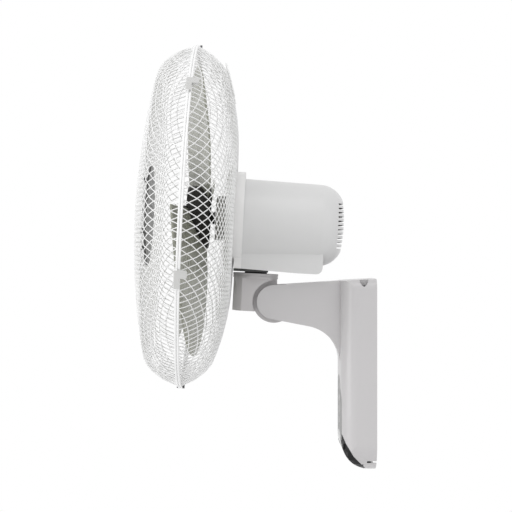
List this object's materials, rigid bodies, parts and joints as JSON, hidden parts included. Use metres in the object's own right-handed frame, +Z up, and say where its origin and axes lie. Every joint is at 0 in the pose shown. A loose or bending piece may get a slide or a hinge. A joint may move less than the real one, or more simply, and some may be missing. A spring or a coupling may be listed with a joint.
{
  "type": "wall mounted fan",
  "caption": "Wall mounted fan: column bracket with a push-button panel, tilting neck, swinging motor head, wire guards held by rim clips, and swept translucent blades.",
  "frame": {"origin": "on the wall plane at the middle of the column's back, between the four wall holes", "axes": "+Y into the wall, +Z up, +X to the left of someone who faces the fan from the room; the fan blows towards -Y"},
  "size_m": [0.43, 0.3008, 0.5333],
  "materials": {
    "shell": "satin",
    "back_plate": "matt",
    "fixings": "satin",
    "bracket_steel": "satin",
    "washers": "matt",
    "window": "gloss",
    "bezel": "matt",
    "board": "matt",
    "buttons": "satin",
    "terminal": "matt",
    "grommet": "matt",
    "neck": "satin",
    "brass": "satin",
    "timer": "satin",
    "laminations": "matt",
    "copper": "satin",
    "bells": "satin",
    "shaft": "polished",
    "capacitor": "matt",
    "pad": "matt",
    "housing": "satin",
    "guard_wire": "gloss",
    "guard_nut": "matt",
    "badge": "satin",
    "crank": "satin",
    "blades": "gloss",
    "blade_nut": "satin",
    "clips": "satin"
  },
  "bodies": {
    "wall_mount": {"shell_left": "shell", "shell_right": "shell", "back_plate": "back_plate", "shell_screws": "fixings", "arm_bracket": "bracket_steel", "bracket_screws": "fixings", "hinge_bolt": "fixings", "hinge_nut": "fixings", "friction_washers": "washers", "display_window": "window", "control_bezel": "bezel", "control_board": "board", "terminal_block": "terminal", "cable_grommet": "grommet"},
    "neck": {"neck_casting": "neck", "swivel_washer": "washers", "swivel_post": "bracket_steel", "post_circlip": "fixings"},
    "head": {"swivel_bush": "brass", "timer_motor": "timer", "motor_bracket": "bracket_steel", "stator_core": "laminations", "windings": "copper", "front_bell": "bells", "rear_bell": "bells", "front_bearing": "brass", "rear_bearing": "brass", "motor_screws": "fixings", "capacitor": "capacitor", "front_cover": "housing", "motor_housing": "housing", "swivel_pad": "pad", "front_guard": "guard_wire", "rear_guard": "guard_wire", "guard_nut": "guard_nut", "badge_disc": "badge", "rim_screws": "fixings", "rim_nuts": "fixings", "carry_loop": "guard_wire"},
    "crank": {"crank_disc": "crank"},
    "link": {"link_rod": "bracket_steel"},
    "rotor": {"motor_shaft": "shaft", "rotor_core": "laminations", "fan_blades": "blades", "blade_nut": "blade_nut"},
    "clip_1": {"rim_clip_1": "clips"},
    "clip_2": {"rim_clip_2": "clips"},
    "clip_3": {"rim_clip_3": "clips"},
    "clip_4": {"rim_clip_4": "clips"},
    "push_1": {"button_1": "buttons"},
    "push_2": {"button_2": "buttons"},
    "push_3": {"button_3": "buttons"},
    "push_4": {"button_4": "buttons"}
  },
  "joints": [
    {"name": "tilt", "type": "hinge", "parent": "wall_mount", "child": "neck", "pos_m": [0, -0.127, 0.088], "axis": [1, 0, 0], "range_deg": [-7, 30]},
    {"name": "swing", "type": "hinge", "parent": "neck", "child": "head", "pos_m": [0, -0.15024, 0.11085], "axis": [0, 0.0523, 0.9986], "range_deg": [-40, 40]},
    {"name": "crank_turn", "type": "hinge", "parent": "head", "child": "crank", "pos_m": [0.01123, -0.09286, 0.13568], "axis": [0, 0.0523, 0.9986], "range_deg": [-90.5, 90.5]},
    {"name": "link_turn", "type": "hinge", "parent": "crank", "child": "link", "pos_m": [0.02409, -0.09302, 0.13268], "axis": [0, 0.0523, 0.9986], "range_deg": [-90.5, 90.5]},
    {"name": "fan_spin", "type": "hinge", "parent": "head", "child": "rotor", "pos_m": [0, -0.23353, 0.19532], "axis": [0, -0.9986, 0.0523], "continuous": true},
    {"name": "clip_1_latch", "type": "hinge", "parent": "head", "child": "clip_1", "pos_m": [0.2027, -0.24061, 0.1194], "axis": [-0.3518, -0.049, -0.9348], "range_deg": [0, 70]},
    {"name": "clip_2_latch", "type": "hinge", "parent": "head", "child": "clip_2", "pos_m": [0.15734, -0.22884, 0.34407], "axis": [0.6871, -0.038, -0.7256], "range_deg": [0, 70]},
    {"name": "clip_3_latch", "type": "hinge", "parent": "head", "child": "clip_3", "pos_m": [-0.15734, -0.22884, 0.34407], "axis": [0.6871, 0.038, 0.7256], "range_deg": [0, 70]},
    {"name": "clip_4_latch", "type": "hinge", "parent": "head", "child": "clip_4", "pos_m": [-0.2027, -0.24061, 0.1194], "axis": [-0.3518, 0.049, 0.9348], "range_deg": [0, 70]},
    {"name": "button_1_press", "type": "slide", "parent": "wall_mount", "child": "push_1", "axis": [0, 1, 0], "range_m": [0, 0.001], "stiffness_N_per_m": 600},
    {"name": "button_2_press", "type": "slide", "parent": "wall_mount", "child": "push_2", "axis": [0, 1, 0], "range_m": [0, 0.001], "stiffness_N_per_m": 600},
    {"name": "button_3_press", "type": "slide", "parent": "wall_mount", "child": "push_3", "axis": [0, 1, 0], "range_m": [0, 0.001], "stiffness_N_per_m": 600},
    {"name": "button_4_press", "type": "slide", "parent": "wall_mount", "child": "push_4", "axis": [0, 1, 0], "range_m": [0, 0.001], "stiffness_N_per_m": 600}
  ],
  "couplings": [
    {"joint": "crank_turn", "follows": "swing", "ratio": -2.25},
    {"joint": "link_turn", "follows": "swing", "ratio": 2.25}
  ]
}
